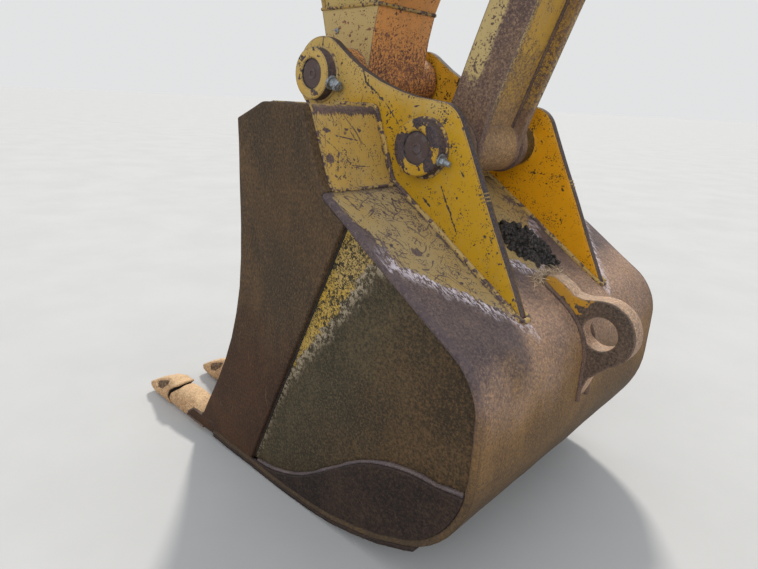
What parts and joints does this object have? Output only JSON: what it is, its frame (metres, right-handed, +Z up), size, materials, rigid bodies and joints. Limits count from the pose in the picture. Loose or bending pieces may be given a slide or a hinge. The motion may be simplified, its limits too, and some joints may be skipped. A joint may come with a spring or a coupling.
{
  "type": "excavator stick with bucket and linkage",
  "caption": "Digging end of a large excavator: box-section stick, toothed bucket on two ears, bucket link, rockers and bucket cylinder, held at the boom pin's bore.",
  "frame": {"origin": "centre of the bore for the boom pin, in the middle of the stick's width", "axes": "+Z up along the hanging stick, +X away from the machine, +Y to the machine's left"},
  "size_m": [2.1855, 1.358, 6.0747],
  "materials": {
    "yellow_paint": "matte",
    "rusted_yellow_paint": "matte",
    "rusted_steel": "matte",
    "dusty_tooth_steel": "matte",
    "dark_pin_steel": "satin",
    "chrome_rod": "polished",
    "seal_rubber": "matte"
  },
  "bodies": {
    "stick": {"stick_nose": "rusted_yellow_paint", "stick_side_left": "yellow_paint", "stick_side_right": "yellow_paint", "stick_front_plate": "rusted_yellow_paint", "stick_rear_plate": "yellow_paint", "stick_end_plate": "yellow_paint", "boom_boss": "yellow_paint", "rocker_tube": "yellow_paint", "upper_ears": "yellow_paint", "cylinder_bracket": "yellow_paint", "cylinder_base_pin": "dark_pin_steel", "rocker_pin": "dark_pin_steel", "nose_seals": "seal_rubber"},
    "rockers": {"rocker_left": "yellow_paint", "rocker_right": "yellow_paint", "rocker_tip_pins": "dark_pin_steel"},
    "link": {"link": "rusted_yellow_paint", "link_tip_pins": "dark_pin_steel"},
    "cylinder_barrel": {"barrel": "yellow_paint", "gland": "dark_pin_steel", "barrel_pipe": "dark_pin_steel"},
    "cylinder_rod": {"rod": "chrome_rod", "rod_eye": "yellow_paint", "rod_tip_pin": "dark_pin_steel"},
    "bucket": {"ear_left": "yellow_paint", "ear_right": "yellow_paint", "bucket_pin": "dark_pin_steel", "link_pin": "dark_pin_steel", "hinge_plate": "yellow_paint", "box_plate": "rusted_steel", "bucket_skin": "rusted_steel", "side_bar_left": "rusted_steel", "side_bar_right": "rusted_steel", "side_panel_left": "rusted_steel", "side_panel_right": "rusted_steel", "corner_plates": "rusted_steel", "floor_strips": "rusted_steel", "lip": "rusted_steel", "adapters": "dusty_tooth_steel", "teeth": "dusty_tooth_steel", "lifting_eye": "rusted_steel"}
  },
  "joints": [
    {"name": "bucket_curl", "type": "hinge", "parent": "stick", "child": "bucket", "pos_m": [0.1, 0, -3.38], "axis": [0, 1, 0], "range_deg": [-64, 105]},
    {"name": "rocker_swing", "type": "hinge", "parent": "stick", "child": "rockers", "pos_m": [0.215, 0, -2.93], "axis": [0, 1, 0], "range_deg": [-48, 78.8]},
    {"name": "link_swing", "type": "hinge", "parent": "bucket", "child": "link", "pos_m": [0.63413, 0, -3.61114], "axis": [0, 1, 0], "range_deg": [-63, 38.4]},
    {"name": "barrel_swing", "type": "hinge", "parent": "stick", "child": "cylinder_barrel", "pos_m": [0.63, 0, -0.58], "axis": [0, 1, 0], "range_deg": [-3.7, 6.1]},
    {"name": "rod_slide", "type": "slide", "parent": "cylinder_barrel", "child": "cylinder_rod", "axis": [0.1138, 0, -0.9935], "range_m": [-0.473, 0.776]}
  ],
  "couplings": [
    {"joint": "rocker_swing", "follows": "bucket_curl", "ratio": 0.75},
    {"joint": "link_swing", "follows": "bucket_curl", "ratio": -0.6},
    {"joint": "barrel_swing", "follows": "bucket_curl", "ratio": 0.0575},
    {"joint": "rod_slide", "follows": "bucket_curl", "m_per_rad": 0.423}
  ]
}
